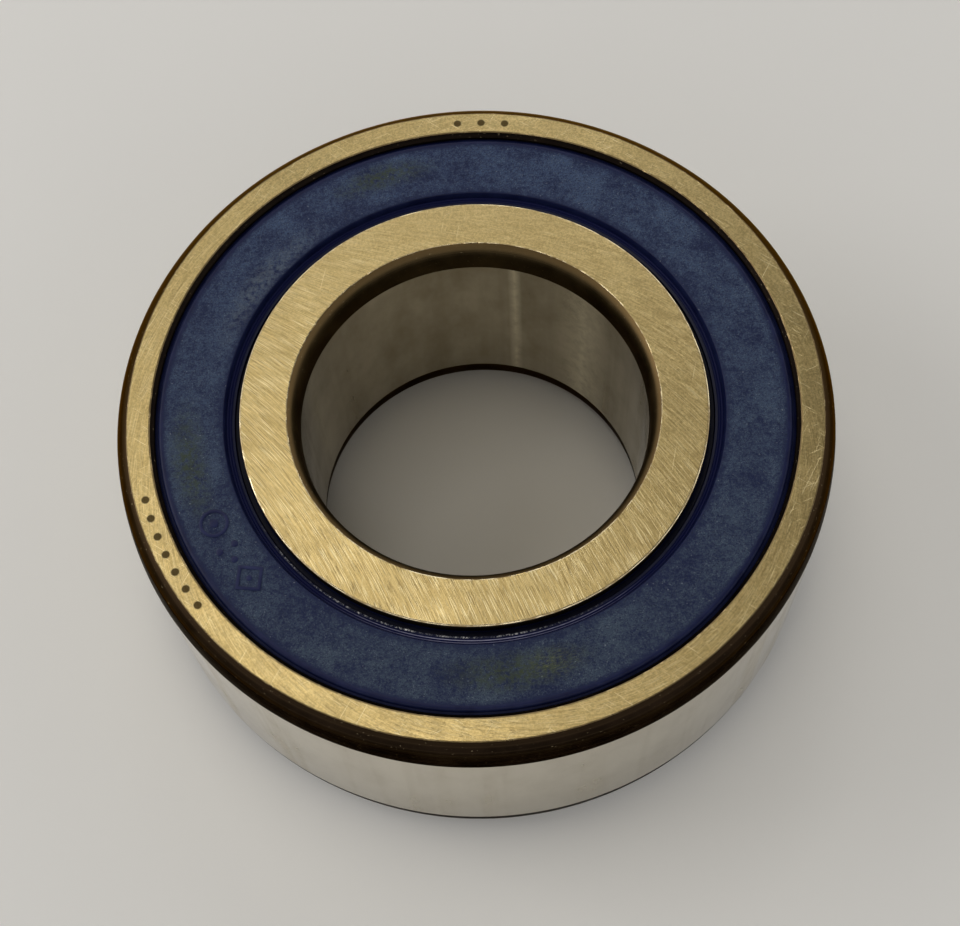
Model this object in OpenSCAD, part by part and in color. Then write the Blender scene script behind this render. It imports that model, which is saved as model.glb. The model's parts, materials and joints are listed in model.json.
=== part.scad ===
// Double-row angular contact ball bearing. Its rows are back to back: the contact lines cross
// the axis outside the rows, so the inner ring has high outside shoulders and the outer ring
// has a rib between the rows. A rubber seal on a steel insert closes each end.
// The bearing's axis is +Z, and the origin is the bearing's centre.

/* [Boundary dimensions] */
// Bore diameter of the inner ring
bore_d = 35; // [34:0.5:36]
// Outside diameter of the outer ring
outside_d = 72; // [71:0.5:74]
// Width of both rings
width = 27; // [26.5:0.5:30]

/* [Ring corners] */
// Radial size of the outer ring's outside corners
outer_corner_radial = 1.5; // [1:0.1:1.8]
// Axial size of the outer ring's outside corners
outer_corner_axial = 3.5; // [2:0.1:3.5]
// Radial size of the bore's corners
bore_corner_radial = 1.1; // [0.8:0.1:1.5]
// Axial size of the bore's corners
bore_corner_axial = 3; // [2:0.1:3.5]
// Part of a corner's radial size that its bevel takes, next to the face
bevel_radial_part = 0.76; // [0.6:0.01:0.8]
// Part of a corner's axial size that its bevel takes
bevel_axial_part = 0.28; // [0.2:0.01:0.35]
// Radius of the curve across the bevel
bevel_curve = 3; // [2:0.5:8]
// Radius of the curve across the taper between the bevel and the ring's side
taper_curve = 16; // [8:1:40]

/* [Balls and raceways] */
// Ball diameter
ball_d = 9.525; // [9:0.025:9.525]
// Balls in each row
balls_per_row = 10; // [8:1:10]
// Space between the balls of one row and those of the other
row_gap = 0.75; // [0.5:0.05:1]
// Angle between a contact line and the plane square to the axis
contact_angle = 30; // [20:1:35]
// Raceway radius as a part of the ball diameter
conformity = 0.52; // [0.515:0.005:0.53]
// Space between a ball and its raceway along the contact line
ball_clearance = 0.015; // [0.01:0.005:0.03]

/* [Shoulders] */
// Diameter of the inner ring's outside shoulders
inner_shoulder_d = 46.6; // [46:0.1:46.8]
// Diameter of the inner ring's land between the rows
inner_land_d = 45.8; // [45.4:0.1:46.4]
// Diameter of the outer ring's rib between the rows
outer_rib_d = 60.2; // [60:0.1:61]
// Diameter of the outer ring's lands beside the seals
outer_land_d = 62.7; // [62.6:0.1:62.8]

/* [Cages] */
// Inside diameter of a cage
cage_inner_d = 49.2; // [48.6:0.1:50]
// Outside diameter of a cage
cage_outer_d = 58.4; // [57.4:0.1:59]
// Space between a ball and its pocket
pocket_clearance = 0.1; // [0.08:0.01:0.15]
// Thickness of the cage's back at a ball
cage_back = 1; // [0.8:0.05:1.1]
// How far the prongs reach past the middle of the balls
prong_reach = 1.95; // [1.5:0.05:2.2]
// Diameter of the scallop between two prongs
scallop_d = 4; // [3:0.1:4.4]

/* [Seals] */
// Depth of a seal's face below the rings' faces
seal_recess = 0.35; // [0.3:0.05:0.4]
// Outer diameter of the seal's flat face
seal_face_outer_d = 62.3; // [62.2:0.1:62.6]
// Inner diameter of the seal's flat face
seal_face_inner_d = 49.7; // [49.2:0.1:50]
// Thickness of the rubber over the insert
rubber_t = 0.85; // [0.6:0.05:0.85]
// Thickness of the steel insert
insert_t = 0.5; // [0.4:0.05:0.5]
// Diameter of the groove in the outer ring that holds the seal
seal_groove_d = 65.2; // [65:0.1:65.6]
// Diameter of the outer ring's mouth above that groove
mouth_d = 63.6; // [63.5:0.1:63.8]
// Diameter at the floor of the groove in the inner ring that the lip runs in
lip_groove_d = 45.2; // [45:0.1:45.4]
// Space between the lip and the inner ring
lip_clearance = 0.06; // [0.05:0.01:0.08]

/* [Hidden] */
ENDS = ["upper", "lower"];
function ball_name(end, n) = str("ball_", end, "_", n < 10 ? "0" : "", n);

$fn = 96;
bore_r = bore_d / 2;
outside_r = outside_d / 2;
end_z = width / 2;

// Ball rows
ball_r = ball_d / 2;
pitch_r = (bore_r + outside_r) / 2;
row_z = (ball_d + row_gap) / 2;
ball_step = 360 / balls_per_row;
raceway_r = conformity * ball_d;
raceway_shift = raceway_r - ball_r - ball_clearance;
// Direction of the upper row's contact lines from the ball's centre outwards, as [radius, z]
contact_line = [cos(contact_angle), -sin(contact_angle)];

// Chamfer at the outer ring's mouth, and the broken edge round the inner ring's faces
mouth_chamfer = 0.45;
edge_break = 0.12;

// Levels below a ring's face, as heights in the upper half
mouth_z = end_z - 0.7;
groove_top_z = end_z - 1.1;
seat_z = end_z - 2.2;
lip_z = end_z - 1.2;
lip_flank_z = end_z - 1.25;
lip_floor_z = end_z - 1.65;
lip_groove_bottom_z = end_z - 2.6;
seal_face_z = end_z - seal_recess;
insert_z = seal_face_z - rubber_t;

shoulder_r = inner_shoulder_d / 2;
lip_groove_r = lip_groove_d / 2;
seal_groove_r = seal_groove_d / 2;
mouth_r = mouth_d / 2;
// Rubber inside the insert's hole, and the space between the insert's rim and the outer land
insert_cover = 0.2;
insert_land_gap = 0.05;
insert_inner_r = seal_face_inner_d / 2 - insert_cover;
insert_outer_r = outer_land_d / 2 - insert_land_gap;
// Drop of the insert's turned-down rim below the rest of the insert
insert_rim_drop = 0.35;

steel = [0.68, 0.61, 0.46];
ball_steel = [0.75, 0.75, 0.74];
insert_steel = [0.5, 0.49, 0.46];
seal_blue = [0.13, 0.17, 0.36];
cage_cream = [0.85, 0.8, 0.66];

// Points of an arc of radius r from p to q that bulges to the left of the way from p to q
function arc(p, q, r, steps = 10) =
    let (half = (q - p) / 2, h = norm(half), left = [-half[1], half[0]] / h,
         c = (p + q) / 2 - left * sqrt(r * r - h * h),
         start = atan2(p[1] - c[1], p[0] - c[0]), sweep = 2 * asin(h / r))
    [for (i = [0 : steps]) c + r * [cos(start - sweep * i / steps), sin(start - sweep * i / steps)]];

// Points across a ring's corner, clockwise: a bevel next to the face and a taper next to the side
function corner(face, side) =
    let (size = side - face,
         edge = face + [bevel_radial_part * size[0], bevel_axial_part * size[1]],
         outward = size[0] > 0,
         first = outward ? arc(face, edge, bevel_curve, 6) : arc(side, edge, taper_curve, 6),
         second = outward ? arc(edge, side, taper_curve, 6) : arc(edge, face, bevel_curve, 6))
    concat(first, [for (i = [1 : len(second) - 1]) second[i]]);

// The whole outline of a ring whose upper half runs from inside to outside or back
function both_halves(half) =
    concat(half, [for (i = [len(half) - 1 : -1 : 0]) [half[i][0], -half[i][1]]]);

// Circles that cut the raceways of both rows: side is 1 in the outer ring and -1 in the inner
module raceways(side) {
    centre = [pitch_r, row_z] - side * raceway_shift * contact_line;
    for (end = [1, -1]) translate([centre[0], end * centre[1]]) circle(r = raceway_r);
}

// Draws its children as they are at the upper end, and mirrored at the lower end
module at_end(end) {
    if (end == "upper") children();
    else mirror([0, 0, 1]) children();
}

// Puts its children at angle n of a row; the lower row is half a step on from the upper
module at_ball(end, n) {
    rotate([0, 0, (n - 1 + (end == "upper" ? 0 : 0.5)) * ball_step]) children();
}

module outer_ring() {
    half = concat(
        [[outer_rib_d / 2, row_z], [outer_land_d / 2, row_z], [outer_land_d / 2, seat_z],
         [seal_groove_r, seat_z], [seal_groove_r, groove_top_z], [mouth_r, mouth_z],
         [mouth_r, end_z - mouth_chamfer], [mouth_r + mouth_chamfer, end_z]],
        corner([outside_r - outer_corner_radial, end_z], [outside_r, end_z - outer_corner_axial]));
    color(steel) rotate_extrude() difference() {
        polygon(both_halves(half));
        raceways(1);
    }
}

module inner_ring() {
    groove_depth = shoulder_r - lip_groove_r;
    half = concat(
        corner([bore_r + bore_corner_radial, end_z], [bore_r, end_z - bore_corner_axial]),
        [[shoulder_r - edge_break, end_z], [shoulder_r, end_z - edge_break],
         [shoulder_r, lip_flank_z], [lip_groove_r, lip_floor_z],
         [lip_groove_r, lip_groove_bottom_z + groove_depth / 2], [shoulder_r, lip_groove_bottom_z],
         [shoulder_r, row_z], [inner_land_d / 2, row_z]]);
    color(steel) rotate_extrude() difference() {
        polygon(both_halves(half));
        raceways(-1);
    }
}

// A snap-in cage: a ring on the seal's side of the balls, with two prongs round each ball
module cage(end) {
    top = row_z + ball_r + pocket_clearance + cage_back;
    tips = row_z - prong_reach;
    color(cage_cream) at_end(end) difference() {
        rotate_extrude() translate([cage_inner_d / 2, tips])
            square([(cage_outer_d - cage_inner_d) / 2, top - tips]);
        for (n = [1 : balls_per_row]) at_ball(end, n) {
            translate([pitch_r, 0, row_z]) sphere(r = ball_r + pocket_clearance);
            rotate([0, 0, ball_step / 2]) translate([0, 0, tips]) rotate([0, 90, 0])
                cylinder(h = outside_r, d = scallop_d);
        }
    }
}

// A seal's rubber: a flat face, a bead that snaps into the outer ring's groove, and a lip
// with two ribs on it that runs in the inner ring's groove
module seal_rubber(end) {
    face_outer_r = seal_face_outer_d / 2;
    face_inner_r = seal_face_inner_d / 2;
    insert_bottom_z = insert_z - insert_t;

    // The face's rounded outer edge, and the notch between that edge and the mouth
    edge_round = 0.35;
    notch_r = mouth_r - 0.3;
    notch_z = mouth_z - 0.05;
    // Space above the bead, the bevel at its foot, and the rubber outside the insert's rim
    bead_gap = 0.1;
    bead_bevel = 0.2;
    skirt_t = 0.15;
    bead = concat(
        arc([face_outer_r, seal_face_z], [notch_r, notch_z], edge_round, 5),
        [[mouth_r - bead_gap, mouth_z - bead_gap], [seal_groove_r, groove_top_z - bead_gap],
         [seal_groove_r, seat_z + bead_bevel], [seal_groove_r - bead_bevel, seat_z],
         [insert_outer_r + skirt_t, seat_z], [insert_outer_r, insert_bottom_z - insert_rim_drop],
         [insert_outer_r, insert_z], [insert_inner_r, insert_z],
         [insert_inner_r, insert_bottom_z]]);

    // The lip's bottom, the slope up to its tip, and the lip's space to the groove's flank
    lip_r = shoulder_r + lip_clearance;
    lip_tip_r = lip_groove_r + lip_clearance;
    lip_bottom_z = seat_z - 0.1;
    tip_slope_radial = 0.3;
    tip_slope_axial = 0.2;
    flank_gap = 2 * lip_clearance;
    // The ribs: their pitch and rise, and how far along and up each arc goes before the next
    rib_w = (face_inner_r - lip_r) / 3;
    rib_rise = (seal_face_z - lip_z) / 4;
    rib_run = 0.9 * rib_w;
    rib_top = 1.2 * rib_rise;
    function rib_start(i) = [lip_r + i * rib_w, lip_z + i * rib_rise];
    lip = concat(
        [[lip_r + insert_cover, lip_bottom_z], [lip_tip_r + tip_slope_radial, lip_bottom_z],
         [lip_tip_r, lip_bottom_z + tip_slope_axial], [lip_tip_r, lip_floor_z - flank_gap],
         [lip_r, lip_flank_z - flank_gap]],
        [for (i = [0, 1]) each arc(rib_start(i), rib_start(i) + [rib_run, rib_top], rib_w, 4)],
        arc(rib_start(2), [face_inner_r, seal_face_z], rib_w, 4));
    color(seal_blue) at_end(end) rotate_extrude() polygon(concat(bead, lip));
}

// The steel disc in a seal, with its rim turned down
module seal_insert(end) {
    bottom = insert_z - insert_t;
    color(insert_steel) at_end(end) rotate_extrude() polygon([
        [insert_inner_r, insert_z], [insert_outer_r, insert_z],
        [insert_outer_r, bottom - insert_rim_drop],
        [insert_outer_r - insert_t, bottom - insert_rim_drop],
        [insert_outer_r - insert_t, bottom], [insert_inner_r, bottom]]);
}

module ball(end, n) {
    color(ball_steel) at_end(end) at_ball(end, n) translate([pitch_r, 0, row_z])
        sphere(r = ball_r);
}

outer_ring();
inner_ring();
for (end = ENDS) {
    cage(end);
    seal_rubber(end);
    seal_insert(end);
    for (n = [1 : balls_per_row])
        ball(end, n);
}
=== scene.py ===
"""Looks of a sealed double-row angular contact ball bearing, built on its CAD frame.

The rings and the seals' rubber are lathed here with rounded edges and fine detail. The balls,
the cages and the seals' inserts keep their CAD meshes and get materials. Outlines hold
(radius, height) in millimetres, and every Blender object is in metres.
"""
import json
import math
import random

import bpy
import numpy as np
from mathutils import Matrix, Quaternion, Vector


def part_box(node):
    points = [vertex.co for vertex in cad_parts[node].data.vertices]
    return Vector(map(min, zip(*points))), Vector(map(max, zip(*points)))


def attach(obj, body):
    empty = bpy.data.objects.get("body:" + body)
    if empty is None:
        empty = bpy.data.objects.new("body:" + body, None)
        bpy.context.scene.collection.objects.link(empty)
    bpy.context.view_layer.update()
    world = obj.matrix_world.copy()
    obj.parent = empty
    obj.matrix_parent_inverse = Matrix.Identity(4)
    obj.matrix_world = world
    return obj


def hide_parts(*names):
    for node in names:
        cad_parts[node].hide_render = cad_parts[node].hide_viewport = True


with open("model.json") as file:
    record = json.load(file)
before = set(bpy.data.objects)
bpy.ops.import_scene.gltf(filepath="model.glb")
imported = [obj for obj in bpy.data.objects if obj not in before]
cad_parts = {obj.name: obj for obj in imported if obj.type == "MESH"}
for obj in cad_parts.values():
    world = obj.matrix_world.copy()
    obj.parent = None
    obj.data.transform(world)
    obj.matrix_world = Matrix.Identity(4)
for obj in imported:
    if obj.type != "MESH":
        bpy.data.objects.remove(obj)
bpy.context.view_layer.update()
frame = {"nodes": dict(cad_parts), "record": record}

MM = 0.001
TURN = 2 * math.pi

# Sizes from the frame, in millimetres
OUTSIDE_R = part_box("outer_ring")[1].x / MM
END_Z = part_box("outer_ring")[1].z / MM
BORE_R = next(m["dims"]["r_mm"] for m in frame["record"]["mounts"] if m["name"] == "shaft_bore")
SHOULDER_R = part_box("inner_ring")[1].x / MM
SEAL_FACE_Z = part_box("seal_rubber_upper")[1].z / MM
GROOVE_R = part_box("seal_rubber_upper")[1].x / MM
INSERT_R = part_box("seal_insert_upper")[1].x / MM
INSERT_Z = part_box("seal_insert_upper")[1].z / MM
INSERT_LOW_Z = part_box("seal_insert_upper")[0].z / MM
BALL_LOW, BALL_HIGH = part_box("ball_upper_01")
BALL_R = (BALL_HIGH.x - BALL_LOW.x) / 2 / MM
PITCH_R = (BALL_HIGH.x + BALL_LOW.x) / 2 / MM
ROW_Z = (BALL_HIGH.z + BALL_LOW.z) / 2 / MM

# Section of the rings, in millimetres
CONTACT_ANGLE = math.radians(30)
RACEWAY_R = 1.04 * BALL_R
RACEWAY_SHIFT = RACEWAY_R - BALL_R - 0.015
OUTER_RIB_R = 30.1
OUTER_LAND_R = 31.35
INNER_LAND_R = 22.9
# A turned corner has a bevel and a long taper: its whole size across and down, the bevel's share
# of both, the radii of the two curves, and how far the kink between them is eased
OUTER_CORNER = (1.5, 3.5)
BORE_CORNER = (1.1, 3.0)
BEVEL_SHARE = (0.76, 0.28)
BEVEL_CURVE = 3.0
TAPER_CURVE = 16.0
OUTER_EASE = 0.25
BORE_EASE = 0.55
MOUTH_R = 31.8
MOUTH_CHAMFER = 0.45
LIP_GROOVE_R = 22.6

# Levels in the upper half, in millimetres
MOUTH_Z = END_Z - 0.7
GROOVE_TOP_Z = END_Z - 1.1
SEAT_Z = END_Z - 2.2
LIP_FLANK_Z = END_Z - 1.25
LIP_FLOOR_Z = END_Z - 1.65
LIP_GROOVE_MIDDLE_Z = END_Z - 2.25
LIP_GROOVE_BOTTOM_Z = END_Z - 2.6

# Seal, in millimetres
SEAL_FACE_OUTER_R = 30.95
SEAL_FACE_INNER_R = 24.95
INSERT_INNER_R = 24.65
LIP_Z = END_Z - 1.2
LIP_GAP = 0.06
FACE_EDGE_CURVE = 0.45
INSERT_SHEET = 0.5
# From the inner ring's shoulder outward, each as its distance from the shoulder and height above
# the lip: a channel darkened as painted shade, a wet ledge, and the feet of two fine ribs
CHANNEL = ((0.06, -0.25), (0.54, -0.22))
LEDGE = ((0.60, 0.0), (0.78, 0.03))
RIB_FEET = ((0.90, 0.05), (1.16, 0.09), (1.42, 0.15))
RIB_CURVE = 0.2
UNEVEN_RISE = 0.02

# Raised mould mark on the seal's face, in millimetres
MARK_R = 28.0
MARK_WIDTH = 0.34
MARK_RISE = 0.11

# Fineness: steps round a lathed piece, across the seal's face, and along each kind of curve
STEPS = 540
SEAL_FACE_RINGS = 16
RACEWAY_STEPS = 12
CORNER_STEPS = 8
RIB_STEPS = 10


# Outlines

def arc(start, end, radius, count):
    """Points of an arc from start to end that bulges to the left of the way, without end."""
    start, end = np.array(start), np.array(end)
    half = (end - start) / 2
    reach = np.linalg.norm(half)
    left = np.array((-half[1], half[0])) / reach
    centre = (start + end) / 2 - left * math.sqrt(radius ** 2 - reach ** 2)
    first = math.atan2(*(start - centre)[::-1])
    sweep = 2 * math.asin(reach / radius)
    angles = [first - sweep * i / count for i in range(count)]
    return [tuple(centre + radius * np.array((math.cos(a), math.sin(a)))) for a in angles]


def eased(first, corner, second, reach):
    """Points of first and second with the kink at corner eased over reach on each side."""
    corner = np.array(corner)
    first = [p for p in first if np.linalg.norm(np.array(p) - corner) > reach]
    second = [p for p in second if np.linalg.norm(np.array(p) - corner) > reach]
    start, end = (corner + reach * unit(np.array(p) - corner) for p in (first[-1], second[0]))
    bend = []
    for t in np.linspace(0, 1, 7):
        bend.append(tuple((1 - t) ** 2 * start + 2 * t * (1 - t) * corner + t ** 2 * end))
    return first + bend + second


def unit(vector):
    return vector / np.linalg.norm(vector)


def raceway(side, first_r, last_r):
    """Points of a raceway's arc from radius first_r to last_r.

    side is 1 in the outer ring, where the arc rises, and -1 in the inner ring, where it falls."""
    shift = side * RACEWAY_SHIFT
    centre_r = PITCH_R - shift * math.cos(CONTACT_ANGLE)
    centre_z = ROW_Z + shift * math.sin(CONTACT_ANGLE)
    first = -side * math.acos((first_r - centre_r) / RACEWAY_R)
    last = side * math.acos((last_r - centre_r) / RACEWAY_R)
    if side < 0:
        last += TURN
    points = []
    for i in range(RACEWAY_STEPS + 1):
        angle = first + (last - first) * i / RACEWAY_STEPS
        out, up = RACEWAY_R * math.cos(angle), RACEWAY_R * math.sin(angle)
        points.append((centre_r + out, centre_z + up))
    return points


class Outline:
    """A lathe's outline. Each stretch has a surface name, and each corner may be rounded.

    A rounded corner may be worn: wear is a seed, a count of nicks, the deepest nick and the
    surface name of the worn edge."""

    def __init__(self):
        self.corners = []

    def add(self, points, surface, rounding=0.0, wear=None):
        """Adds points; surface is the stretch from each point to the next."""
        for point in points:
            self.corners.append((np.array(point, float), surface, rounding, wear))
        return self

    def with_mirror(self, closing):
        """The outline with its mirror image below z = 0 added, in reverse.

        closing is the surface name of the stretch that closes the loop."""
        half = list(self.corners)
        for i in range(len(half) - 1, -1, -1):
            point, _, rounding, wear = half[i]
            surface = half[i - 1][1] if i else closing
            self.corners.append((point * (1, -1), surface, rounding, wear))
        return self

    def rounded(self):
        """(points, surfaces, wear, inward directions) with each rounded corner as a small curve."""
        points, surfaces, wears, inwards = [], [], [], []
        count = len(self.corners)
        for i, (point, surface, rounding, wear) in enumerate(self.corners):
            before = self.corners[i - 1][0] - point
            after = self.corners[(i + 1) % count][0] - point
            before_surface = self.corners[i - 1][1]
            if not rounding:
                points.append(point)
                surfaces.append(surface)
                wears.append(None)
                inwards.append(np.zeros(2))
                continue
            long_before, long_after = np.linalg.norm(before), np.linalg.norm(after)
            cut = min(rounding, 0.3 * long_before, 0.3 * long_after)
            before, after = before / long_before, after / long_after
            inward = (before + after) / max(np.linalg.norm(before + after), 1e-9)
            curve = [point + before * cut * 1.6]
            for t in (0, 0.25, 0.5, 0.75, 1):
                blend = (1 - t) ** 2 * before + t ** 2 * after
                curve.append(point + blend * cut)
            curve.append(point + after * cut * 1.6)
            for k, p in enumerate(curve):
                points.append(p)
                here = before_surface if k < 3 else surface
                surfaces.append(wear[-1] if wear and 0 < k < 5 else here)
                wears.append(wear if 1 < k < 5 else None)
                inwards.append(inward)
        return np.array(points), surfaces, wears, np.array(inwards)


def wear_depths(seed, nicks, deepest):
    """Depth of an edge's wear at each step round the ring: faint waviness and a few nicks."""
    draw = random.Random(seed)
    steps = np.arange(STEPS)
    depth = np.zeros(STEPS)
    for _ in range(6):
        waves = draw.randint(9, 90)
        depth += 0.0012 * (1 + np.sin(TURN * (waves * steps / STEPS + draw.random())))
    for _ in range(nicks):
        middle = draw.uniform(0, STEPS)
        half_width = draw.uniform(1.0, 2.6)
        nick_depth = draw.uniform(0.3, 1) * deepest
        gap = np.abs((steps - middle + STEPS / 2) % STEPS - STEPS / 2)
        depth = np.maximum(depth, nick_depth * np.clip(1 - gap / half_width, 0, 1))
    return depth


def ripple(x, y):
    """A moulded face's slow unevenness at (x, y), from -1 to 1."""
    draw = random.Random(31)
    total = 0
    for _ in range(9):
        heading, length = draw.uniform(0, TURN), draw.uniform(4, 14)
        along = x * math.cos(heading) + y * math.sin(heading)
        total = total + np.sin(TURN * (along / length + draw.random()))
    return total / 9


def lathe(name, outline, materials, flip=False, uneven=None):
    """A closed piece: the outline turned round +Z, with a material for each surface name.

    uneven is (from radius, to radius, height): points at that height rise and fall slightly."""
    points, surfaces, wears, inwards = outline.rounded()
    radius = np.repeat(points[None, :, 0], STEPS, 0)
    height = np.repeat(points[None, :, 1], STEPS, 0)
    for j, wear in enumerate(wears):
        if wear:
            depth = wear_depths(*wear[:-1])
            radius[:, j] += depth * inwards[j, 0]
            height[:, j] += depth * inwards[j, 1]
    angle = (np.arange(STEPS) * TURN / STEPS)[:, None]
    if uneven:
        low, high, level = uneven
        moved = (radius > low) & (radius < high) & (abs(height - level) < 1e-6)
        rise = UNEVEN_RISE * ripple(radius * np.cos(angle), radius * np.sin(angle))
        height += np.where(moved, rise, 0)
    sign = -1 if flip else 1
    place = np.stack((radius * np.cos(angle), sign * radius * np.sin(angle), sign * height), 2) * MM
    across = len(points)
    i, j = np.meshgrid(np.arange(STEPS), np.arange(across), indexing="ij")
    next_i, next_j = (i + 1) % STEPS, (j + 1) % across
    corners = (i * across + j, i * across + next_j, next_i * across + next_j, next_i * across + j)
    faces = np.stack(corners, 2).reshape(-1, 4)
    mesh = bpy.data.meshes.new(name)
    mesh.from_pydata(place.reshape(-1, 3).tolist(), [], faces.tolist())
    used = sorted(set(surfaces))
    for surface in used:
        mesh.materials.append(materials[surface])
    index = np.array([used.index(s) for s in surfaces], np.int32)
    mesh.polygons.foreach_set("material_index", np.tile(index, STEPS))
    mesh.polygons.foreach_set("use_smooth", np.ones(len(faces), bool))
    mesh.set_sharp_from_angle(angle=math.radians(38))
    piece = bpy.data.objects.new(name, mesh)
    bpy.context.scene.collection.objects.link(piece)
    return piece


def outer_ring_outline():
    """The outer ring, from its inner rib up the groove and mouth, over the face and down."""
    face = (OUTSIDE_R - OUTER_CORNER[0], END_Z)
    side = (OUTSIDE_R, END_Z - OUTER_CORNER[1])
    bevel = (face[0] + BEVEL_SHARE[0] * OUTER_CORNER[0], END_Z - BEVEL_SHARE[1] * OUTER_CORNER[1])
    race = raceway(1, OUTER_RIB_R, OUTER_LAND_R)
    outline = Outline()
    outline.add([race[0]], "works", 0.08)
    outline.add(race[1:-1], "works")
    outline.add([race[-1], (OUTER_LAND_R, SEAT_Z)], "works", 0.06)
    outline.add([(GROOVE_R, SEAT_Z), (GROOVE_R, GROOVE_TOP_Z)], "groove")
    outline.add([(MOUTH_R, MOUTH_Z)], "groove", 0.08)
    outline.add([(MOUTH_R, END_Z - MOUTH_CHAMFER)], "mouth", 0.08)
    outline.add([(MOUTH_R + MOUTH_CHAMFER, END_Z)], "face", 0.08, (11, 60, 0.07, "rim"))
    outline.add([face], "corner", 0.08, (12, 70, 0.07, "rim"))
    upper = arc(face, bevel, BEVEL_CURVE, CORNER_STEPS)[1:]
    lower = arc(bevel, side, TAPER_CURVE, CORNER_STEPS)[1:]
    turned = eased(upper, bevel, lower, OUTER_EASE)
    outline.add([p for p in turned if p[1] > bevel[1]], "corner")
    outline.add([p for p in turned if p[1] <= bevel[1]], "taper")
    outline.add([side], "side", 0.1)
    return outline.with_mirror("works")


def inner_ring_outline():
    """The inner ring, from its bore up over the face and down the shoulder to the raceway."""
    face = (BORE_R + BORE_CORNER[0], END_Z)
    side = (BORE_R, END_Z - BORE_CORNER[1])
    bevel = (face[0] - BEVEL_SHARE[0] * BORE_CORNER[0], END_Z - BEVEL_SHARE[1] * BORE_CORNER[1])
    race = raceway(-1, SHOULDER_R, INNER_LAND_R)
    outline = Outline()
    outline.add([side], "corner", 0.1)
    lower = arc(side, bevel, TAPER_CURVE, CORNER_STEPS)[1:]
    upper = arc(bevel, face, BEVEL_CURVE, CORNER_STEPS)[1:]
    outline.add(eased(lower, bevel, upper, BORE_EASE), "corner")
    outline.add([face], "face", 0.22, (21, 80, 0.08, "bore_rim"))
    outline.add([(SHOULDER_R, END_Z)], "groove", 0.18, (22, 24, 0.05, "shoulder_rim"))
    outline.add([(SHOULDER_R, LIP_FLANK_Z)], "groove", 0.08)
    outline.add([(LIP_GROOVE_R, LIP_FLOOR_Z), (LIP_GROOVE_R, LIP_GROOVE_MIDDLE_Z)], "groove")
    outline.add([(SHOULDER_R, LIP_GROOVE_BOTTOM_Z)], "works", 0.06)
    outline.add([race[0]], "works", 0.08)
    outline.add(race[1:-1], "works")
    outline.add([race[-1]], "works", 0.08)
    return outline.with_mirror("bore")


def seal_outline():
    """The seal's rubber: its face, its bead in the groove, the seat for its insert and its lip."""
    lip_r = SHOULDER_R + LIP_GAP
    tip_r = LIP_GROOVE_R + LIP_GAP
    trench, shelf, feet = (
        [(SHOULDER_R + r, LIP_Z + z) for r, z in part] for part in (CHANNEL, LEDGE, RIB_FEET))
    shoulder = (SEAL_FACE_OUTER_R, SEAL_FACE_Z)
    notch = (MOUTH_R - 0.3, MOUTH_Z - 0.05)
    outline = Outline()
    outline.add([(SEAL_FACE_INNER_R, SEAL_FACE_Z)], "face", 0.25)
    rings = np.linspace(SEAL_FACE_INNER_R, SEAL_FACE_OUTER_R, SEAL_FACE_RINGS)[1:-1]
    outline.add([(r, SEAL_FACE_Z) for r in rings], "face")
    outline.add([shoulder], "edge")
    outline.add(arc(shoulder, notch, FACE_EDGE_CURVE, CORNER_STEPS)[1:], "edge")
    outline.add([notch, (MOUTH_R - 0.1, MOUTH_Z - 0.1)], "edge")
    outline.add([(GROOVE_R, GROOVE_TOP_Z - 0.1), (GROOVE_R, SEAT_Z + 0.2)], "edge")
    outline.add([(GROOVE_R - 0.2, SEAT_Z), (INSERT_R + 0.15, SEAT_Z)], "edge")
    outline.add([(INSERT_R, INSERT_LOW_Z), (INSERT_R, INSERT_Z)], "edge")
    outline.add([(INSERT_INNER_R, INSERT_Z), (INSERT_INNER_R, INSERT_Z - INSERT_SHEET)], "edge")
    outline.add([(lip_r + 0.2, SEAT_Z - 0.1), (tip_r + 0.3, SEAT_Z - 0.1)], "lip", 0.08)
    outline.add([(tip_r, SEAT_Z + 0.1), (tip_r, LIP_FLOOR_Z - 2 * LIP_GAP)], "lip", 0.06)
    outline.add(trench, "channel", 0.05)
    outline.add(shelf[:1], "grease", 0.04)
    outline.add(shelf[1:], "lip", 0.08)
    for start, end in zip(feet, feet[1:]):
        outline.add(arc(start, end, RIB_CURVE, RIB_STEPS), "rib")
    outline.add(feet[-1:], "lip")
    return outline


# Materials

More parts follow.
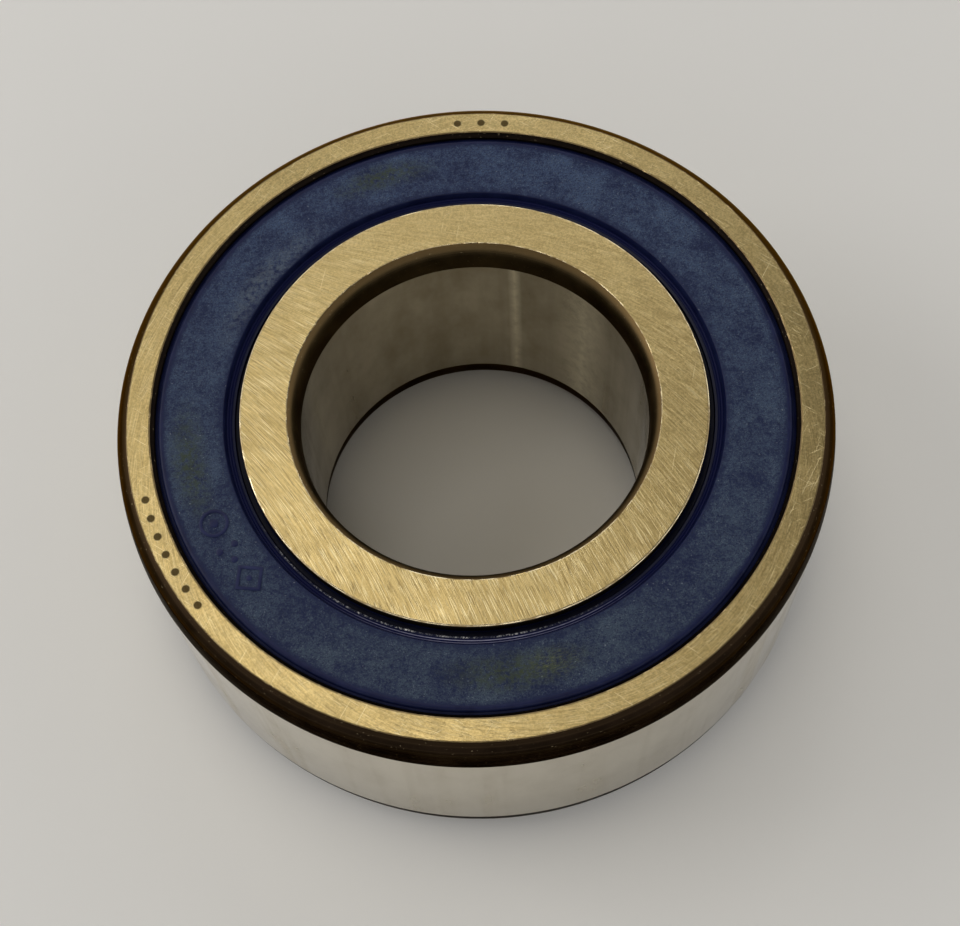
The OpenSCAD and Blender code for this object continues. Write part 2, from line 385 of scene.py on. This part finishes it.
class Graph:
    """A material's nodes. Each call adds one node and returns its output.

    The constructor's values go on the shader's sockets, with _ for each space in a name. A colour
    is (red, green, blue)."""

    def __init__(self, name, **values):
        self.material = bpy.data.materials.new(name)
        self.material.use_nodes = True
        self.tree = self.material.node_tree
        self.shader = self.tree.nodes["Principled BSDF"]
        for socket, value in values.items():
            self.feed(self.shader.inputs[socket.replace("_", " ")], value)

    def feed(self, socket, value):
        if isinstance(value, bpy.types.NodeSocket):
            self.tree.links.new(value, socket)
        else:
            socket.default_value = (*value, 1) if isinstance(value, tuple) else value

    def add(self, kind, inputs, output=0, **settings):
        node = self.tree.nodes.new("ShaderNode" + kind)
        for key, value in settings.items():
            setattr(node, key, value)
        for key, value in inputs.items():
            self.feed(node.inputs[key], value)
        return node.outputs[output]

    def math(self, operation, *values):
        return self.add("Math", dict(enumerate(values)), operation=operation)

    def times(self, a, b):
        return self.math("MULTIPLY", a, b)

    def plus(self, a, b):
        return self.math("ADD", a, b)

    def vector(self, x, y, z=0.0):
        return self.add("CombineXYZ", {0: x, 1: y, 2: z})

    def ramp(self, value, low, high, to_low=0.0, to_high=1.0):
        inputs = {0: value, 1: low, 2: high, 3: to_low, 4: to_high}
        return self.add("MapRange", inputs, clamp=True)

    def noise(self, vector, scale=1.0, detail=2.0, roughness=0.5):
        inputs = {"Vector": vector, "Scale": scale, "Detail": detail, "Roughness": roughness}
        return self.add("TexNoise", inputs)

    def mix(self, share, a, b):
        inputs = {0: share, 6: a, 7: b}
        return self.add("Mix", inputs, output=2, data_type="RGBA")

    def place(self):
        """The point in the piece's own space, as (x, y, z) in millimetres."""
        point = self.add("TexCoord", {}, output=3)
        scaled = self.add("VectorMath", {0: point, 3: 1 / MM}, operation="SCALE")
        node = self.tree.nodes.new("ShaderNodeSeparateXYZ")
        self.feed(node.inputs[0], scaled)
        return node.outputs[0], node.outputs[1], node.outputs[2]

    def radius(self, x, y):
        return self.math("SQRT", self.plus(self.times(x, x), self.times(y, y)))

    def turned(self, x, y, degrees):
        """(x, y) in axes turned by that angle about +Z."""
        c, s = math.cos(math.radians(degrees)), math.sin(math.radians(degrees))
        along = self.plus(self.times(x, c), self.times(y, s))
        across = self.plus(self.times(y, c), self.times(x, -s))
        return along, across

    def colour(self, value):
        self.feed(self.shader.inputs["Base Color"], value)

    def roughness(self, value):
        self.feed(self.shader.inputs["Roughness"], value)

    def bump(self, height, depth_mm):
        inputs = {"Height": height, "Distance": depth_mm * MM, "Strength": 1.0}
        self.feed(self.shader.inputs["Normal"], self.add("Bump", inputs))


STEEL_LIGHT = (0.75, 0.59, 0.275)
STEEL_DARK = (0.49, 0.37, 0.158)
STEEL_SHINE = (0.98, 0.85, 0.50)
ETCHED = (0.060, 0.038, 0.012)
SEAL_NAVY = ((0.005, 0.008, 0.046), (0.013, 0.020, 0.080))


def row_of_dots(g, x, y, z, middle, count, ring_r, step, dot_r):
    """1 inside a row of round dots along the ring on the upper face, and 0 elsewhere."""
    along, across = g.turned(x, y, middle)
    angle = g.math("ARCTAN2", across, along)
    share = g.plus(g.times(angle, 1 / math.radians(step)), count / 2)
    local = g.times(g.plus(g.math("FRACT", share), -0.5), math.radians(step) * ring_r)
    off = g.radius(local, g.plus(g.radius(x, y), -ring_r))
    dot = g.ramp(off, dot_r - 0.06, dot_r + 0.06, 1.0, 0.0)
    inside = g.times(g.math("GREATER_THAN", share, 0.0), g.math("LESS_THAN", share, float(count)))
    return g.times(g.times(dot, inside), g.math("GREATER_THAN", z, 0.0))


def arc_lay(g, x, y, wheel_r, wheel_y):
    """(across, along) of the arcs that a wheel of radius wheel_r leaves as it feeds along X."""
    height = g.times(g.plus(y, -wheel_y), 1 / wheel_r)
    angle = g.math("ARCSINE", height)
    across = g.plus(x, g.times(g.math("COSINE", angle), -wheel_r))
    return across, g.times(angle, wheel_r)


def round_lay(g, x, y, centre_x, centre_y):
    """(across, along) of the circles that a turning table leaves about an offset centre."""
    x, y = g.plus(x, -centre_x), g.plus(y, -centre_y)
    radius = g.radius(x, y)
    return radius, g.times(g.math("ARCTAN2", y, x), 33.0)


def scratches(g, across, along, seed, width, length, rarity):
    """1 on sparse straight scratches of about that width and length in millimetres."""
    vector = g.vector(g.times(across, 1 / width), g.times(along, 1 / length), seed)
    return g.ramp(g.noise(vector, 1.0, 1.0), rarity, rarity + 0.05)


def ground_face(name, lay, depth, crossings, marks=()):
    """A ground face: fine lines along the lay, scratches across it, and etched dots.

    lay is the kind of lay and its two lengths. depth is how strongly the lines show where they
    show most. Each crossing is an angle, a rarity and a length."""
    g = Graph(name, Metallic=1.0, Anisotropic=0.3)
    x, y, z = g.place()
    kind, *lengths = lay
    across, along = kind(g, x, y, *lengths)
    reach = g.ramp(g.turned(x, y, 235)[0], -16.0, 8.0, 0.4 * depth, depth)
    fine = g.noise(g.vector(g.times(across, 10.0), g.times(along, 0.35)), 1.0, 2.0, 0.6)
    broad = g.noise(g.vector(g.times(across, 4.5), g.times(along, 0.22), 7.0), 1.0, 2.0, 0.6)
    grit = g.noise(g.vector(x, y, z), 5.0, 3.0, 0.75)
    cloud = g.noise(g.vector(x, y, z), 0.16, 3.0, 0.55)
    dark = g.times(scratches(g, across, along, 3.0, 0.09, 2.2, 0.58), reach)
    bright = g.times(scratches(g, across, along, 5.0, 0.08, 3.4, 0.58), reach)
    for i, (angle, rarity, length) in enumerate(crossings):
        other_along, other_across = g.turned(x, y, angle)
        line = scratches(g, other_across, other_along, 11.0 + 4 * i, 0.10, length, rarity)
        bright = g.math("MAXIMUM", bright, line)
    lines = g.plus(g.times(fine, 0.55), g.times(broad, 0.45))
    shade = g.mix(g.plus(g.times(reach, 0.5), 0.25), grit, lines)
    colour = g.mix(g.ramp(shade, 0.43, 0.57), STEEL_DARK, STEEL_LIGHT)
    colour = g.mix(g.ramp(cloud, 0.4, 0.75, 0.0, 0.3), colour, STEEL_DARK)
    colour = g.mix(g.times(dark, 0.55), colour, (0.22, 0.155, 0.065))
    colour = g.mix(g.times(bright, 0.75), colour, STEEL_SHINE)
    rough = g.plus(g.ramp(cloud, 0.35, 0.7, 0.27, 0.35), g.times(fine, 0.06))
    for mark in marks:
        etched = row_of_dots(g, x, y, z, *mark)
        colour = g.mix(g.times(etched, 0.9), colour, ETCHED)
        rough = g.plus(rough, g.times(etched, 0.25))
    g.colour(colour)
    g.roughness(rough)
    height = g.plus(g.times(shade, 0.8), g.times(g.plus(dark, bright), -0.4))
    g.bump(height, 0.018)
    return g.material


def worn_rim(name, dull, bright, worn_from):
    """A ring's edge, burnished bright in places."""
    g = Graph(name, Metallic=1.0)
    x, y, z = g.place()
    point = g.vector(x, y, z)
    worn = g.ramp(g.noise(point, 0.7, 4.0, 0.7), worn_from, worn_from + 0.16)
    g.colour(g.mix(worn, dull, bright))
    g.roughness(g.ramp(worn, 0.0, 1.0, 0.42, 0.20))
    g.bump(g.noise(point, 5.0, 2.0, 0.6), 0.01)
    return g.material


def turned_steel(name, dark, light, line, finish, edge=None, sheen=(0.35, 0.33, 0.30)):
    """A turned surface left dark from heat treatment, with fine turning lines round it.

    edge is a lighter colour near the ring's end face, painted in as a reflection, and over what
    depth.
    sheen is its colour where it is seen at a grazing angle."""
    g = Graph(name, Metallic=1.0, Specular_Tint=sheen)
    x, y, z = g.place()
    along = g.plus(g.times(g.radius(x, y), 0.9), z)
    lines = g.noise(g.vector(g.times(along, 9.0), 0.0), 1.0, 3.0, 0.7)
    cloud = g.noise(g.vector(x, y, z), 0.3, 4.0, 0.6)
    chips = g.ramp(g.noise(g.vector(x, y, g.times(z, 3.0)), 2.6, 2.0, 0.6), 0.69, 0.74)
    colour = g.mix(g.ramp(cloud, 0.35, 0.7), dark, light)
    if edge:
        reflection_colour, depth = edge
        # Painted reflection: the colour turns lighter towards the end face.
        painted_reflection_share = g.ramp(g.math("ABSOLUTE", z), END_Z - depth, END_Z)
        colour = g.mix(painted_reflection_share, colour, reflection_colour)
    colour = g.mix(g.ramp(lines, 0.5, 0.7, 0.0, 0.6), colour, line)
    g.colour(g.mix(g.times(chips, 0.4), colour, (0.4, 0.32, 0.2)))
    g.roughness(g.ramp(cloud, 0.3, 0.7, finish, finish + 0.1))
    g.bump(lines, 0.008)
    return g.material


def ground_round(name, dull, bright, painted_reflections=()):
    """A round surface ground to a near mirror, with fine lines round it and dull smudges.

    Each streak is a lighter band along the axis, painted in as a reflection: its middle and half
    angle in degrees, and its strength."""
    g = Graph(name, Metallic=1.0)
    x, y, z = g.place()
    lines = g.noise(g.vector(0.0, 0.0, g.times(z, 5.0)), 1.0, 4.0, 0.75)
    smudge = g.noise(g.vector(x, y, g.times(z, 0.6)), 0.22, 4.0, 0.6)
    band = g.noise(g.vector(x, y, g.times(z, 0.04)), 0.30, 3.0, 0.6)
    colour = g.mix(g.ramp(smudge, 0.35, 0.7), bright, dull)
    colour = g.mix(g.ramp(band, 0.45, 0.62, 0.0, 0.4), colour, dull)
    # Each streak is a painted reflection: a lighter band along the axis.
    for middle, half_angle, strength in painted_reflections:
        along, across = g.turned(x, y, middle)
        off = g.math("ABSOLUTE", g.math("ARCTAN2", across, along))
        share = g.ramp(off, 0.0, math.radians(half_angle), strength, 0.0)
        broken = g.ramp(g.noise(g.vector(x, y, z), 0.8, 3.0, 0.7), 0.3, 0.6, 0.4, 1.0)
        colour = g.mix(g.times(share, broken), colour, (0.95, 0.88, 0.68))
    g.colour(colour)
    duller = g.ramp(band, 0.5, 0.62, 0.0, 0.12)
    g.roughness(g.plus(g.ramp(smudge, 0.4, 0.7, 0.08, 0.2), duller))
    g.bump(lines, 0.002)
    return g.material


def works_steel():
    """Raceways and lands inside the bearing: superfinished, with a trace of tempering colour."""
    g = Graph("raceway_steel", Metallic=1.0)
    x, y, z = g.place()
    lines = g.noise(g.vector(g.times(g.radius(x, y), 4.0), g.times(z, 4.0)), 1.0, 3.0, 0.6)
    g.colour(g.mix(lines, (0.55, 0.52, 0.46), (0.66, 0.63, 0.57)))
    g.roughness(g.ramp(lines, 0.3, 0.7, 0.12, 0.2))
    g.bump(lines, 0.001)
    return g.material


def patch(g, x, y, middle, ring_r, half_angle, half_width):
    """A soft patch round the seal's face: 1 at its middle and 0 past its half sizes."""
    along, across = g.turned(x, y, middle)
    off_angle = g.times(g.math("ARCTAN2", across, along), 1 / math.radians(half_angle))
    off_r = g.times(g.plus(g.radius(x, y), -ring_r), 1 / half_width)
    return g.ramp(g.radius(off_angle, off_r), 0.2, 1.0, 1.0, 0.0)


def seal_face():
    """The seal's flat face: blue rubber with fine grain, a haze of dust and a few stains."""
    g = Graph("seal_rubber_face", IOR=1.5, Specular_IOR_Level=0.22)
    x, y, z = g.place()
    point = g.vector(x, y, z)
    r = g.radius(x, y)
    haze = g.noise(point, 0.28, 4.0, 0.6)
    mottle = g.noise(point, 1.6, 5.0, 0.68)
    grain = g.noise(point, 5.0, 4.0, 0.85)
    speck = g.ramp(g.noise(point, 4.0, 1.0), 0.75, 0.79)
    ragged = g.plus(r, g.times(g.plus(mottle, -0.5), 1.6))
    middle = g.times(g.ramp(ragged, 24.9, 25.9), g.ramp(ragged, 30.55, 30.9, 1.0, 0.0))
    dust = g.plus(g.times(haze, 0.3), g.plus(g.times(mottle, 0.25), g.times(grain, 0.45)))
    dust = g.times(g.ramp(dust, 0.43, 0.57), g.ramp(middle, 0.0, 1.0, 0.06, 1.0))
    # The dust's tint is greyer towards -y and bluer and lighter towards +y.
    dusty = g.mix(g.ramp(y, -26.0, 26.0), (0.042, 0.064, 0.100), (0.044, 0.074, 0.150))
    colour = g.mix(dust, (0.003, 0.009, 0.050), dusty)
    fleck = g.ramp(g.noise(point, 9.0, 1.0), 0.58, 0.70)
    colour = g.mix(g.times(g.times(fleck, dust), 0.8), colour, (0.12, 0.15, 0.19))
    pore = g.ramp(g.noise(g.vector(y, z, x), 8.0, 1.0), 0.58, 0.68)
    colour = g.mix(g.times(pore, 0.85), colour, (0.004, 0.009, 0.032))
    stains = g.plus(patch(g, x, y, 274, 27.9, 17, 2.4), patch(g, x, y, 187, 28.6, 15, 2.2))
    stains = g.plus(stains, patch(g, x, y, 105, 28.7, 13, 1.9))
    stains = g.times(stains, g.ramp(mottle, 0.38, 0.6))
    pale = g.times(patch(g, x, y, 141, 26.3, 22, 1.7), g.ramp(mottle, 0.42, 0.60))
    colour = g.mix(g.times(pale, 0.55), colour, (0.105, 0.125, 0.145))
    colour = g.mix(g.times(stains, 0.85), colour, (0.034, 0.046, 0.014))
    slanted = g.plus(y, g.times(x, -0.25))
    fibres = g.noise(g.vector(g.times(x, 1.6), g.times(slanted, 8.0), 2.0), 1.0, 4.0, 0.8)
    rubbed = g.times(patch(g, x, y, 281, 27.8, 7, 1.8), g.ramp(fibres, 0.50, 0.68))
    colour = g.mix(g.times(rubbed, 0.8), colour, (0.17, 0.18, 0.06))
    g.colour(g.mix(g.times(speck, 0.5), colour, (0.22, 0.25, 0.30)))
    g.roughness(g.plus(g.ramp(dust, 0.0, 1.0, 0.42, 0.60), g.times(grain, 0.1)))
    g.bump(g.plus(g.times(mottle, 0.4), g.times(grain, 0.6)), 0.09)
    return g.material


def seal_edge(name, roughness, level=1.0, shine=0.5):
    """Rubber at the seal's edge and lip, darker, cleaner and glossier than its face."""
    g = Graph(name, IOR=1.5, Specular_IOR_Level=shine)
    x, y, z = g.place()
    point = g.vector(x, y, z)
    cloud = g.noise(point, 0.5, 4.0, 0.6)
    grain = g.noise(point, 6.0, 3.0, 0.65)
    dark, light = (tuple(level * share for share in colour) for colour in SEAL_NAVY)
    g.colour(g.mix(g.ramp(cloud, 0.35, 0.7), dark, light))
    g.roughness(g.ramp(grain, 0.3, 0.7, roughness, roughness + 0.14))
    g.bump(grain, 0.006)
    return g.material


def seal_ribs():
    """The two fine ribs inside the seal's face, glossier where grease wets them, with painted
    highlights on their tops there.
    """
    g = Graph("seal_rubber_rib", IOR=1.5, Specular_IOR_Level=0.15)
    x, y, z = g.place()
    r = g.radius(x, y)
    cloud = g.noise(g.vector(x, y, z), 1.5, 3.0, 0.6)
    painted_highlights = 0.0
    for (start, _), (end, _), strength in zip(RIB_FEET, RIB_FEET[1:], (1.0, 0.45)):
        off = g.math("ABSOLUTE", g.plus(r, -(SHOULDER_R + (start + end) / 2)))
        painted_highlights = g.plus(painted_highlights, g.ramp(off, 0.02, 0.06, strength, 0.0))
    wet_and_highlit = g.times(patch(g, x, y, 268, 24.5, 40, 9.0), g.ramp(cloud, 0.3, 0.6, 0.5, 1.0))
    # Painted highlights: light lines along the rib tops, only in the wet patch.
    g.colour(g.mix(g.times(painted_highlights, wet_and_highlit), (0.002, 0.005, 0.050), (0.42, 0.43, 0.62)))
    g.roughness(g.ramp(wet_and_highlit, 0.0, 1.0, 0.45, 0.22))
    return g.material


def grease_film():
    """A wet trace of grease at the foot of the inner ring's wall, with painted glints on it."""
    g = Graph("grease_trace", IOR=1.48, Specular_IOR_Level=0.3)
    x, y, z = g.place()
    point = g.vector(x, y, z)
    lumps = g.noise(point, 4.0, 3.0, 0.7)
    angle = g.math("ARCTAN2", y, x)
    run = g.vector(g.times(angle, 55.0), g.times(z, 9.0), 2.0)
    painted_glints = g.ramp(g.noise(run, 1.0, 4.0, 0.8), 0.49, 0.59)
    stretches = g.noise(g.vector(g.times(angle, 9.0), 0.0, 7.0), 1.0, 2.0)
    stretches = g.ramp(stretches, 0.40, 0.55, 0.15, 0.95)
    wetter = g.times(patch(g, x, y, 252, 24.0, 48, 9.0), stretches)
    film = g.times(g.ramp(lumps, 0.4, 0.65), wetter)
    colour = g.mix(film, (0.003, 0.006, 0.035), (0.05, 0.06, 0.09))
    # The near-white flecks are painted glints along the wetter stretches.
    g.colour(g.mix(g.times(painted_glints, wetter), colour, (0.96, 0.97, 1.0)))
    g.roughness(g.ramp(wetter, 0.0, 0.5, 0.4, 0.14))
    g.bump(g.times(lumps, wetter), 0.25)
    return g.material


def ball_steel():
    """Polished balls, with faint marks from rolling."""
    g = Graph("ball_steel_polished", Metallic=1.0)
    x, y, z = g.place()
    marks = g.noise(g.vector(x, y, z), 1.4, 4.0, 0.6)
    g.colour(g.mix(marks, (0.70, 0.69, 0.67), (0.80, 0.79, 0.77)))
    g.roughness(g.ramp(marks, 0.3, 0.7, 0.05, 0.12))
    return g.material


def insert_steel():
    """Cold-rolled sheet under the seal's rubber."""
    g = Graph("insert_sheet", Metallic=1.0)
    x, y, z = g.place()
    rolled = g.noise(g.vector(g.times(x, 8.0), g.times(y, 0.6), z), 1.0, 3.0, 0.6)
    g.colour(g.mix(rolled, (0.36, 0.35, 0.33), (0.52, 0.51, 0.48)))
    g.roughness(g.ramp(rolled, 0.3, 0.7, 0.3, 0.45))
    g.bump(rolled, 0.004)
    return g.material


def cage_plastic():
    """Moulded glass-filled nylon, cream, with a faint fibre texture."""
    g = Graph("cage_nylon", IOR=1.53)
    x, y, z = g.place()
    fibre = g.noise(g.vector(g.times(x, 2.0), y, g.times(z, 2.0)), 2.5, 4.0, 0.65)
    g.colour(g.mix(g.ramp(fibre, 0.35, 0.7), (0.62, 0.54, 0.38), (0.74, 0.67, 0.50)))
    g.roughness(g.ramp(fibre, 0.3, 0.7, 0.42, 0.58))
    g.bump(fibre, 0.02)
    return g.material


def floor_paint():
    """Plain pale floor with a trace of unevenness."""
    g = Graph("pale_floor")
    x, y, _ = g.place()
    cloud = g.noise(g.vector(x, y), 0.02, 2.0)
    g.colour(g.mix(cloud, (0.80, 0.80, 0.79), (0.83, 0.83, 0.82)))
    g.roughness(0.7)
    return g.material


# Pieces

def rings():
    works = works_steel()
    rim = worn_rim("worn_rim", (0.24, 0.175, 0.085), (0.66, 0.51, 0.27), 0.53)
    bore_rim = worn_rim("worn_bore_rim", (0.42, 0.32, 0.16), (0.98, 0.86, 0.58), 0.43)
    black = turned_steel(
        "turned_groove", (0.018, 0.013, 0.008), (0.035, 0.025, 0.015), (0.07, 0.05, 0.03), 0.36)
    # Etched rows of dots: middle angle, count, ring radius, step in degrees, dot radius
    marks = [(84.2, 3, 33.35, 4.3, 0.40), (203.3, 7, 33.45, 3.57, 0.40)]
    outer = {
        "face": ground_face(
            "outer_ground_face", (round_lay, 5, -7), 0.45,
            [(58, 0.69, 5.0), (-38, 0.67, 3.0), (20, 0.70, 3.0)], marks),
        "rim": rim,
        # The bevel's colours are darker than the taper's: painted shade on one turned surface. Its
        # lighter edge colour is a painted reflection.
        "corner": turned_steel(
            "turned_outer_corner",
            (0.008, 0.005, 0.003), (0.016, 0.010, 0.006), (0.055, 0.037, 0.020), 0.32,
            ((0.035, 0.022, 0.012), 0.4), (0.85, 0.60, 0.33)),
        "taper": turned_steel(
            "turned_outer_taper",
            (0.015, 0.011, 0.007), (0.028, 0.020, 0.012), (0.085, 0.060, 0.035), 0.32),
        "side": ground_round("ground_outside", (0.52, 0.47, 0.37), (0.62, 0.57, 0.46)),
        # The mouth chamfer is coloured darker than the groove beyond it: painted shade.
        "mouth": turned_steel(
            "turned_mouth",
            (0.004, 0.003, 0.003), (0.010, 0.007, 0.005), (0.035, 0.025, 0.015), 0.34),
        "groove": black,
        "works": works,
    }
    inner = {
        "face": ground_face(
            "inner_ground_face", (arc_lay, 66, -43), 1.0, [(75, 0.73, 4.5), (30, 0.76, 4.5)]),
        "shoulder_rim": worn_rim("worn_shoulder_rim", (0.46, 0.35, 0.18), (0.92, 0.79, 0.52), 0.42),
        "bore_rim": bore_rim,
        # The bore corner's lighter colour near the end face is a painted reflection.
        "corner": turned_steel(
            "turned_bore_corner",
            (0.034, 0.024, 0.011), (0.065, 0.045, 0.021), (0.11, 0.077, 0.037), 0.38,
            ((0.14, 0.092, 0.040), 0.6)),
        # The shoulder's lighter colour near the end face is a painted reflection.
        "groove": turned_steel(
            "turned_shoulder",
            (0.022, 0.016, 0.009), (0.045, 0.032, 0.018), (0.08, 0.06, 0.035), 0.36,
            ((0.10, 0.07, 0.035), 0.9)),
        # The bore's streaks are painted reflections: middle angle, half angle, strength
        "bore": ground_round(
            "honed_bore", (0.36, 0.31, 0.21), (0.56, 0.50, 0.38),
            [(72, 2.5, 0.9), (45, 13, 0.85), (250, 9, 0.4), (160, 6, 0.3)]),
        "works": works,
    }
    piece = lathe("outer_ring_finished", outer_ring_outline(), outer)
    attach(piece, "outer")
    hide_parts("outer_ring")
    piece = lathe("inner_ring_finished", inner_ring_outline(), inner)
    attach(piece, "inner")
    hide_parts("inner_ring")


def polygon(sides, radius, turn=0.0):
    """Points of a regular polygon about (0, 0)."""
    angles = [math.radians(turn) + TURN * i / sides for i in range(sides)]
    return [(radius * math.cos(a), radius * math.sin(a)) for a in angles]


def bead(path, width, rise):
    """(points, faces) of a rounded bead along a closed path on a face at height 0."""
    section = [(-0.5, -rise), (-0.5, rise * 0.5), (-0.25, rise)]
    section += [(-u, z) for u, z in reversed(section)]
    path = np.array(path)
    ahead = np.roll(path, -1, 0) - path
    ahead /= np.linalg.norm(ahead, axis=1)[:, None]
    behind = np.roll(ahead, 1, 0)
    out = np.stack((ahead[:, 1] + behind[:, 1], -ahead[:, 0] - behind[:, 0]), 1)
    out /= (1 + (ahead * behind).sum(1))[:, None]
    points = []
    for place, side in zip(path, out):
        points += [(*(place + side * width * u), z) for u, z in section]
    count, faces = len(section), []
    for i in range(len(path)):
        a, b = i * count, (i + 1) % len(path) * count
        faces += [(a + k, a + (k + 1) % count, b + (k + 1) % count, b + k) for k in range(count)]
    return points, faces


def pip(x, y, radius, rise):
    """(points, faces) of a small round pip on a face at height 0."""
    rings = [(1.0, -rise), (1.0, rise * 0.3), (0.75, rise * 0.8), (0.35, rise)]
    sides = 16
    points = []
    for share, z in rings:
        points += [(x + u * share, y + v * share, z) for u, v in polygon(sides, radius)]
    faces = [tuple(reversed(range(sides)))]
    for j in range(len(rings) - 1):
        for i in range(sides):
            a, b = j * sides + i, j * sides + (i + 1) % sides
            faces.append((a, b, b + sides, a + sides))
    faces.append(tuple(range((len(rings) - 1) * sides, len(rings) * sides)))
    return points, faces


def mould_mark(name, material, flip):
    """Raised plain shapes that a mould leaves on the seal: a ring, three pips and a diamond."""
    shapes = [
        (201.5, [bead(polygon(40, 1.3), MARK_WIDTH, MARK_RISE),
                 pip(0, 0, 0.45, MARK_RISE)]),
        (208.5, [pip(x, y, 0.36, MARK_RISE) for x, y in polygon(3, 0.95, 90)]),
        (215.5, [bead(polygon(4, 1.5), MARK_WIDTH, MARK_RISE), pip(0, 0, 0.3, MARK_RISE)]),
    ]
    points, faces = [], []
    sign = -1 if flip else 1
    for angle, parts in shapes:
        c, s = math.cos(math.radians(angle)), math.sin(math.radians(angle))
        for part_points, part_faces in parts:
            start = len(points)
            for u, v, z in part_points:
                x, y = c * (MARK_R + u) - s * v, s * (MARK_R + u) + c * v
                points.append((x * MM, sign * y * MM, sign * (SEAL_FACE_Z + z) * MM))
            faces += [tuple(start + i for i in face) for face in part_faces]
    mesh = bpy.data.meshes.new(name)
    mesh.from_pydata(points, [], faces)
    mesh.materials.append(material)
    mesh.polygons.foreach_set("use_smooth", np.ones(len(faces), bool))
    mesh.set_sharp_from_angle(angle=math.radians(50))
    mark = bpy.data.objects.new(name, mesh)
    bpy.context.scene.collection.objects.link(mark)
    return mark


def seals():
    edge = seal_edge("seal_rubber_edge", 0.34, 0.8, 0.2)
    materials = {
        "face": seal_face(),
        "edge": edge,
        "lip": seal_edge("seal_rubber_lip", 0.3, 0.7, 0.2),
        "rib": seal_ribs(),
        "grease": grease_film(),
        # The channel's rubber at level 0.2 is near black: painted shade in the recess by the inner
        # ring's wall.
        "channel": seal_edge("seal_rubber_channel", 0.35, 0.2, 0.15),
    }
    uneven = (SEAL_FACE_INNER_R + 0.3, SEAL_FACE_OUTER_R - 0.1, SEAL_FACE_Z)
    mark_material = seal_edge("seal_rubber_mark", 0.45, 1.0, 0.25)
    for end in ("upper", "lower"):
        lower = end == "lower"
        piece = lathe(f"seal_rubber_{end}_moulded", seal_outline(), materials, lower, uneven)
        mark = mould_mark(f"seal_mark_{end}", mark_material, lower)
        for part in (piece, mark):
            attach(part, "outer")
        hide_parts(f"seal_rubber_{end}")


def cad_materials():
    by_prefix = {"ball_": ball_steel(), "seal_insert_": insert_steel(), "cage_": cage_plastic()}
    for name, node in frame["nodes"].items():
        for prefix, material in by_prefix.items():
            if name.startswith(prefix):
                node.data.materials.clear()
                node.data.materials.append(material)


# Stage

CAMERA_PLACE = (0, -0.07628, 0.16260)
CAMERA_PAN = math.radians(-0.74)
CAMERA_TILT = math.radians(68.62)
CAMERA_ROLL = math.radians(-5.62)
CAMERA_LENS = 63.17
CAMERA_SHIFT = 0.1146


def camera():
    data = bpy.data.cameras.new("camera")
    data.sensor_width = 36
    data.lens = CAMERA_LENS
    data.shift_y = CAMERA_SHIFT
    data.clip_start = 0.005
    eye = bpy.data.objects.new("camera", data)
    bpy.context.scene.collection.objects.link(eye)
    flat, down = math.cos(CAMERA_TILT), math.sin(CAMERA_TILT)
    forward = Vector((math.sin(CAMERA_PAN) * flat, math.cos(CAMERA_PAN) * flat, -down))
    eye.rotation_mode = "QUATERNION"
    eye.location = CAMERA_PLACE
    eye.rotation_quaternion = forward.to_track_quat("-Z", "Y") @ Quaternion((0, 0, 1), CAMERA_ROLL)
    bpy.context.scene.camera = eye


def softbox(name, place, size, power, colour):
    """A soft area light at place, aimed at the origin."""
    data = bpy.data.lights.new(name, "AREA")
    data.shape = "RECTANGLE"
    data.size, data.size_y = size
    data.energy = power
    data.color = colour
    light = bpy.data.objects.new(name, data)
    light.location = place
    light.rotation_mode = "QUATERNION"
    light.rotation_quaternion = (-Vector(place)).to_track_quat("-Z", "Y")
    bpy.context.scene.collection.objects.link(light)


def studio_world():
    """A studio room: pale walls that meet the floor in its own tone, and a dimmer ceiling."""
    world = bpy.data.worlds.new("studio")
    world.use_nodes = True
    tree = world.node_tree
    background = tree.nodes["Background"]
    background.inputs["Color"].default_value = (1.0, 0.98, 0.95, 1)
    direction = tree.nodes.new("ShaderNodeTexCoord")
    height = tree.nodes.new("ShaderNodeSeparateXYZ")
    strength = tree.nodes.new("ShaderNodeMath")
    strength.operation = "MULTIPLY"
    tree.links.new(direction.outputs["Generated"], height.inputs[0])
    for i, fade_values in enumerate(((0.40, 0.78, 1.35, 0.07), (0.0, 0.25, 0.36, 1.0))):
        fade = tree.nodes.new("ShaderNodeMapRange")
        tree.links.new(height.outputs["Z"], fade.inputs["Value"])
        for socket, value in zip(fade.inputs[1:5], fade_values):
            socket.default_value = value
        tree.links.new(fade.outputs[0], strength.inputs[i])
    tree.links.new(strength.outputs[0], background.inputs["Strength"])
    bpy.context.scene.world = world


def stage():
    half = 6.0
    z = -END_Z * MM
    mesh = bpy.data.meshes.new("floor")
    corners = [(-half, -half, z), (half, -half, z), (half, half, z), (-half, half, z)]
    mesh.from_pydata(corners, [], [(0, 1, 2, 3)])
    mesh.materials.append(floor_paint())
    floor = bpy.data.objects.new("floor", mesh)
    bpy.context.scene.collection.objects.link(floor)
    studio_world()
    softbox("key_softbox", (-0.08, 0.12, 0.50), (0.20, 0.26), 0.29, (1.0, 0.94, 0.83))
    softbox("far_softbox", (0.04, 0.42, 0.50), (0.12, 0.14), 0.085, (1.0, 0.98, 0.95))
    softbox("rim_softbox", (0.05, -0.30, 0.50), (0.12, 0.12), 0.12, (1.0, 0.95, 0.86))
    softbox("side_softbox", (-0.60, 0.15, 0.45), (0.40, 0.40), 1.0, (1.0, 0.97, 0.93))
    bpy.context.scene.view_settings.view_transform = "Standard"


camera()
rings()
seals()
cad_materials()
stage()
